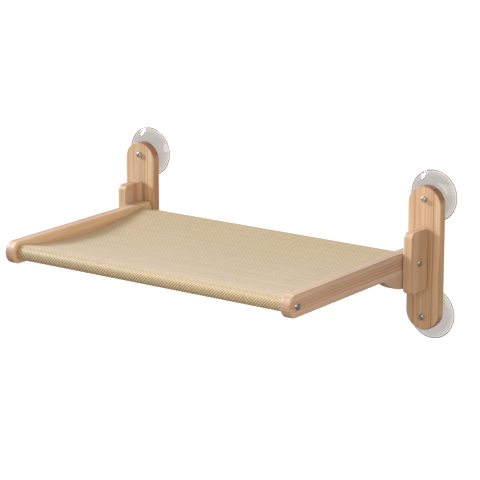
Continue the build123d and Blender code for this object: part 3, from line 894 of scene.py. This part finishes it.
def wave_height(u, v, front_seam, rear_seam):
    """How far the cloth stands above its even sag, in millimetres.

    The seams pull it down in puckers. On the right it still has the shallow waves in which it
    came rolled up, and elsewhere it is faintly uneven, with one dent on the left.
    """
    height = 0.0
    for seam in (front_seam, rear_seam):
        pucker = 1.0 + PUCKER_CHANGE * hills(u, v, PUCKER_SIZE, seed=11.3)
        height -= PUCKER_DEPTH * pucker * math.exp(-(((v - seam) / PUCKER_WIDTH) ** 2))
    near_front, clear_of_front = (front_seam + distance for distance in FREE_OF_FRONT_SEAM)
    near_rear, clear_of_rear = (rear_seam - distance for distance in FREE_OF_REAR_SEAM)
    loose = slow_rise(v, near_front, clear_of_front) * slow_rise(v, near_rear, clear_of_rear)
    height += UNEVENNESS * hills(u, v, HILL_SIZE, seed=5.1) * loose
    waves_start, waves_full = (front_seam + distance for distance in WAVES_ALONG)
    rolled = slow_rise(u, *WAVES_ACROSS) * slow_rise(v, waves_start, waves_full)
    drift = WAVE_DRIFT * hills(u, 0.0, DRIFT_SIZE, seed=2.2)
    crests = math.cos(math.tau * (v + drift - front_seam - FIRST_CREST) / WAVE_LENGTH)
    height += WAVE_HEIGHT * rolled * loose * crests
    dent_u, dent_v = DENT_PLACE
    dent = ((u - dent_u) / DENT_SIZE[0]) ** 2 + ((v - front_seam - dent_v) / DENT_SIZE[1]) ** 2
    return height - DENT_DEPTH * math.exp(-dent)


class Surface:
    """The middle of the cloth: points in metres, in rows that run right, one behind the other.

    across holds the place of each column and along the length from the front flap's end to
    each row, both in millimetres of cloth.
    """

    def __init__(self, points, across, along):
        self.points, self.across, self.along = points, across, along
        upwards = np.cross(np.gradient(points, axis=1), np.gradient(points, axis=0))
        self.normals = upwards / np.linalg.norm(upwards, axis=2, keepdims=True)

    def at(self, grid, u, v):
        """What a grid of points or normals holds at a place across and a length along."""
        across, along = self.across, self.along
        column = np.clip(np.searchsorted(across, u) - 1, 0, len(across) - 2)
        row = np.clip(np.searchsorted(along, v) - 1, 0, len(along) - 2)
        s = (u - across[column]) / (across[column + 1] - across[column])
        t = (v - along[row]) / (along[row + 1] - along[row])
        near = grid[row, column] * (1 - s) + grid[row, column + 1] * s
        far = grid[row + 1, column] * (1 - s) + grid[row + 1, column + 1] * s
        return near * (1 - t) + far * t

    def raised(self, heights):
        """The same cloth, raised at each point by its height in millimetres."""
        return Surface(self.points + self.normals * heights[:, :, None] * MM, self.across, self.along)


# ---- The sling's sewing, in millimetres ----

STITCH_LENGTH = 3.6
STITCH_SHARE = 0.82  # of the length, that the thread shows
STITCH_RADIUS = 0.28
STITCH_SIDES = 6
STITCH_LIFT = 0.05  # the thread's middle over the cloth's face
SEAM_END_INSET = 3.0  # edge of the cloth to the end of a seam
HEM_CLEARANCE = 0.04
HEM_COLUMNS = 4
HEM_START = 5.0  # behind the seam
HEM_STITCH_START = 6.0
HEM_STITCH_INSET = 9.0

# A stitch from end to end: the place along it, the share of its radius, and how deep it dives
STITCH_PROFILE = (
    (-0.5, 0.35, 0.9),
    (-0.36, 0.9, 0.25),
    (0.0, 1.0, 0.0),
    (0.36, 0.9, 0.25),
    (0.5, 0.35, 0.9),
)


def add_stitch(shape, middle, heading, upwards, length, radius):
    """One stitch: a short length of thread that dives into the cloth at both ends."""
    side = upwards.cross(heading)
    rings = []
    for along, swell, sink in STITCH_PROFILE:
        centre = middle + heading * (along * length) - upwards * (sink * radius)
        ring = []
        for k in range(STITCH_SIDES):
            angle = math.tau * k / STITCH_SIDES
            out = (side * math.cos(angle) + upwards * math.sin(angle)) * (radius * swell)
            ring.append(shape.verts.new(centre + out))
        rings.append(ring)
    for one, other in zip(rings, rings[1:]):
        for k in range(STITCH_SIDES):
            after = (k + 1) % STITCH_SIDES
            shape.faces.new((one[k], one[after], other[after], other[k]))
    shape.faces.new(rings[0][::-1])
    shape.faces.new(rings[-1])


def sew(shape, surface, start, end, lift):
    """A row of stitches from one (across, along) to another, at a height over the cloth's middle."""
    start, end = np.array(start, float), np.array(end, float)
    run = np.linalg.norm(end - start)
    count = int(run / STITCH_LENGTH)
    for index in range(count):
        # A stitch stands at its middle and points at a place a little further on.
        place = start + (end - start) * (index + 0.5) / count
        ahead = start + (end - start) * (index + 0.9) / count
        middle = Vector(surface.at(surface.points, *place))
        onwards = Vector(surface.at(surface.points, *ahead)) - middle
        upwards = Vector(surface.at(surface.normals, *place)).normalized()
        if lift < 0:
            upwards.negate()
        middle += upwards * (abs(lift) * MM)
        heading = (onwards - upwards * onwards.dot(upwards)).normalized()
        add_stitch(shape, middle, heading, upwards, run / count * STITCH_SHARE * MM, STITCH_RADIUS * MM)


def make_stitches(surface, front_seam, rear_seam):
    """The two seams that close the sleeves and the two that hold the hems, seen from both sides."""
    stitches = bmesh.new()
    on_top = CLOTH_THICKNESS / 2 + STITCH_LIFT
    below_flap = -(CLOTH_THICKNESS * 1.5 + FLAP_CLEARANCE + STITCH_LIFT)
    below_hem = -(CLOTH_THICKNESS * 1.5 + HEM_CLEARANCE + STITCH_LIFT)
    edge = SLING_HALF_WIDTH - SEAM_END_INSET
    for seam in (front_seam, rear_seam):
        for lift in (on_top, below_flap):
            sew(stitches, surface, (-edge, seam), (edge, seam), lift)
    front_end, rear_end = front_seam + HEM_STITCH_START, rear_seam - HEM_STITCH_START
    for side in (-1, 1):
        line = side * (SLING_HALF_WIDTH - HEM_STITCH_INSET)
        for lift in (on_top, below_hem):
            sew(stitches, surface, (line, front_end), (line, rear_end), lift)
    thread = bpy.data.meshes.new("sling_stitches")
    stitches.to_mesh(thread)
    stitches.free()
    thread.shade_smooth()
    thread.materials.append(spun_thread("spun_thread"))
    sewing = bpy.data.objects.new("sling_stitches", thread)
    bpy.context.collection.objects.link(sewing)
    return sewing


def make_hems(surface, front_seam, rear_seam, cloth):
    """The two side edges, turned under between the sleeves."""
    hems = []
    along, across = surface.along, surface.across
    rows = np.where((along > front_seam + HEM_START) & (along < rear_seam - HEM_START))[0]
    last = len(across)
    strips = {"left": np.arange(0, HEM_COLUMNS), "right": np.arange(last - HEM_COLUMNS, last)}
    for side, columns in strips.items():
        patch = np.ix_(rows, columns)
        under = surface.points[patch] - surface.normals[patch] * (CLOTH_THICKNESS + HEM_CLEARANCE) * MM
        hem = woven_grid(f"sling_hem_{side}", under, across[columns], along[rows])
        thicken(hem)
        hem.data.materials.append(cloth)
        hems.append(hem)
    return hems


CLOTH_COLUMNS = 137
HELD_PAST_SEAM = 8.0  # millimetres of sheet beside a seam that the simulation holds


def make_sling():
    """The woven sheet, sewn into a sleeve round each dowel, with a turned hem at each side."""
    section = sling_section()
    along = np.concatenate([[0.0], np.cumsum(np.linalg.norm(np.diff(section, axis=0), axis=1))])
    across = np.linspace(-SLING_HALF_WIDTH, SLING_HALF_WIDTH, CLOTH_COLUMNS)
    points = np.empty((len(section), len(across), 3))
    points[:, :, 0] = across * MM
    points[:, :, 1] = section[:, 0:1] * MM
    points[:, :, 2] = section[:, 1:2] * MM

    # The top of the sheet runs between the crowns of the two sleeves.
    half = len(section) // 2
    front_crown = int(np.argmax(section[:half, 1]))
    rear_crown = half + int(np.argmax(section[half:, 1]))
    front_seam = along[front_crown] + SLEEVE_LENGTH
    rear_seam = along[rear_crown] - SLEEVE_LENGTH

    cloth = woven_straw("woven_straw", along[front_crown])
    free = (along > front_seam + HELD_PAST_SEAM) & (along < rear_seam - HELD_PAST_SEAM)
    trial = woven_grid("sling_trial", points, across, along)
    points = settle(trial, points, free)
    bpy.data.objects.remove(trial)
    heights = np.zeros(points.shape[:2])
    for row in range(front_crown + 1, rear_crown):
        for column, u in enumerate(across):
            heights[row, column] = wave_height(u, along[row], front_seam, rear_seam)
    surface = Surface(points, across, along).raised(heights)

    sling = woven_grid("sling_cloth", surface.points, across, along)
    thicken(sling)
    sling.data.materials.append(cloth)
    hems = make_hems(surface, front_seam, rear_seam, cloth)
    sewing = make_stitches(surface, front_seam, rear_seam)

    for piece in [sling, sewing] + hems:
        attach(piece, "hammock")
    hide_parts("sling")


# ---- Suction cups, in millimetres ----

DOME_SLOPE = 0.65  # rise of the dome's side for each millimetre inwards
HOLLOW_DEPTH = 7.4
HOLLOW_INSET = 4.5  # rim to the edge of the hollow
LIP_THICKNESS = 1.9
LIP_WIDTH = 3.2
NECK_HEIGHT = 6.0
NECK_RADIUS = 13.5
BORE_RADIUS = 4.6
BORE_DEPTH = 8.0
OUTLINE_SPACING = 1.0
TURNING_STEPS = 128
WELD_DISTANCE = 0.001
SHARP_EDGE = 50.0  # degrees


def rounded(corners, spacing):
    """Points along a line of corners (across, up, radius), each corner rounded to its radius."""
    points = []
    for index, (x, y, radius) in enumerate(corners):
        corner = np.array([x, y], float)
        if radius == 0:
            points.append(corner)
            continue
        before = np.array(corners[index - 1][:2]) - corner
        after = np.array(corners[index + 1][:2]) - corner
        before /= np.linalg.norm(before)
        after /= np.linalg.norm(after)
        half_angle = math.acos(float(np.dot(before, after))) / 2
        towards_centre = (before + after) / np.linalg.norm(before + after)
        centre = corner + towards_centre * radius / math.sin(half_angle)
        tangent = corner + before * radius / math.tan(half_angle)
        start = tangent - centre
        sweep = math.pi - 2 * half_angle
        turn = 1.0 if start[0] * after[1] - start[1] * after[0] > 0 else -1.0
        steps = max(3, int(round(sweep * radius / spacing)))
        for angle in np.linspace(0.0, turn * sweep, steps + 1):
            c, s = math.cos(angle), math.sin(angle)
            points.append(centre + np.array([c * start[0] - s * start[1], s * start[0] + c * start[1]]))
    return points


def cup_outline(radius, depth):
    """Half of a cup's section as (radius, depth), from the hollow's middle round to the bore.

    The third number of each corner is the radius that rounds it.
    """
    hollow_edge = radius - HOLLOW_INSET
    lip_foot = radius - LIP_WIDTH
    dome_depth = depth - NECK_HEIGHT
    return rounded(
        [
            (0.0, HOLLOW_DEPTH, 0),
            (hollow_edge - HOLLOW_DEPTH / DOME_SLOPE, HOLLOW_DEPTH, 40.0),
            (hollow_edge, 0.0, 0.8),
            (radius, 0.0, 0.7),
            (radius, LIP_THICKNESS, 0.9),
            (lip_foot, LIP_THICKNESS, 1.2),
            (lip_foot - (dome_depth - LIP_THICKNESS) / DOME_SLOPE, dome_depth, 44.0),
            (NECK_RADIUS, dome_depth, 2.0),
            (NECK_RADIUS, depth, 0.6),
            (BORE_RADIUS, depth, 0.3),
            (BORE_RADIUS, depth - BORE_DEPTH, 0.3),
            (0.0, depth - BORE_DEPTH, 0),
        ],
        OUTLINE_SPACING,
    )


def make_cup(node_name, material):
    """A soft cup, turned from its section: a thin flat lip, a steep dome and a bored neck."""
    low, high = (Vector(corner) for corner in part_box(node_name))
    radius = (high.x - low.x) / 2 / MM
    depth = (high.y - low.y) / MM
    shape = bmesh.new()
    ring = [shape.verts.new((r * MM, -d * MM, 0.0)) for r, d in cup_outline(radius, depth)]
    edges = [shape.edges.new(pair) for pair in zip(ring, ring[1:])]
    bmesh.ops.spin(
        shape,
        geom=ring + edges,
        axis=(0, 1, 0),
        cent=(0, 0, 0),
        angle=math.tau,
        steps=TURNING_STEPS,
        use_merge=True,
    )
    bmesh.ops.remove_doubles(shape, verts=shape.verts, dist=WELD_DISTANCE * MM)
    bmesh.ops.recalc_face_normals(shape, faces=shape.faces)
    if shape.calc_volume(signed=True) < 0:
        bmesh.ops.reverse_faces(shape, faces=shape.faces)
    mesh = bpy.data.meshes.new(node_name.replace("suction_cup", "moulded_cup"))
    shape.to_mesh(mesh)
    shape.free()
    mesh.shade_smooth()
    mesh.set_sharp_from_angle(angle=math.radians(SHARP_EDGE))
    mesh.materials.append(material)
    cup = bpy.data.objects.new(mesh.name, mesh)
    bpy.context.collection.objects.link(cup)
    cup.location = ((low.x + high.x) / 2, high.y, (low.z + high.z) / 2)
    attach(cup, "window_mount")
    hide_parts(node_name)


def make_cups():
    """The four cups share one plastic."""
    plastic = clear_pvc("clear_pvc")
    for node_name in sorted(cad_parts):
        if node_name.startswith("suction_cup"):
            make_cup(node_name, plastic)


# ---- The perch ----

make_camera()
make_studio()
dress_boards()
dress_fittings()
make_cups()
make_sling()
bpy.context.scene.view_settings.view_transform = "Standard"
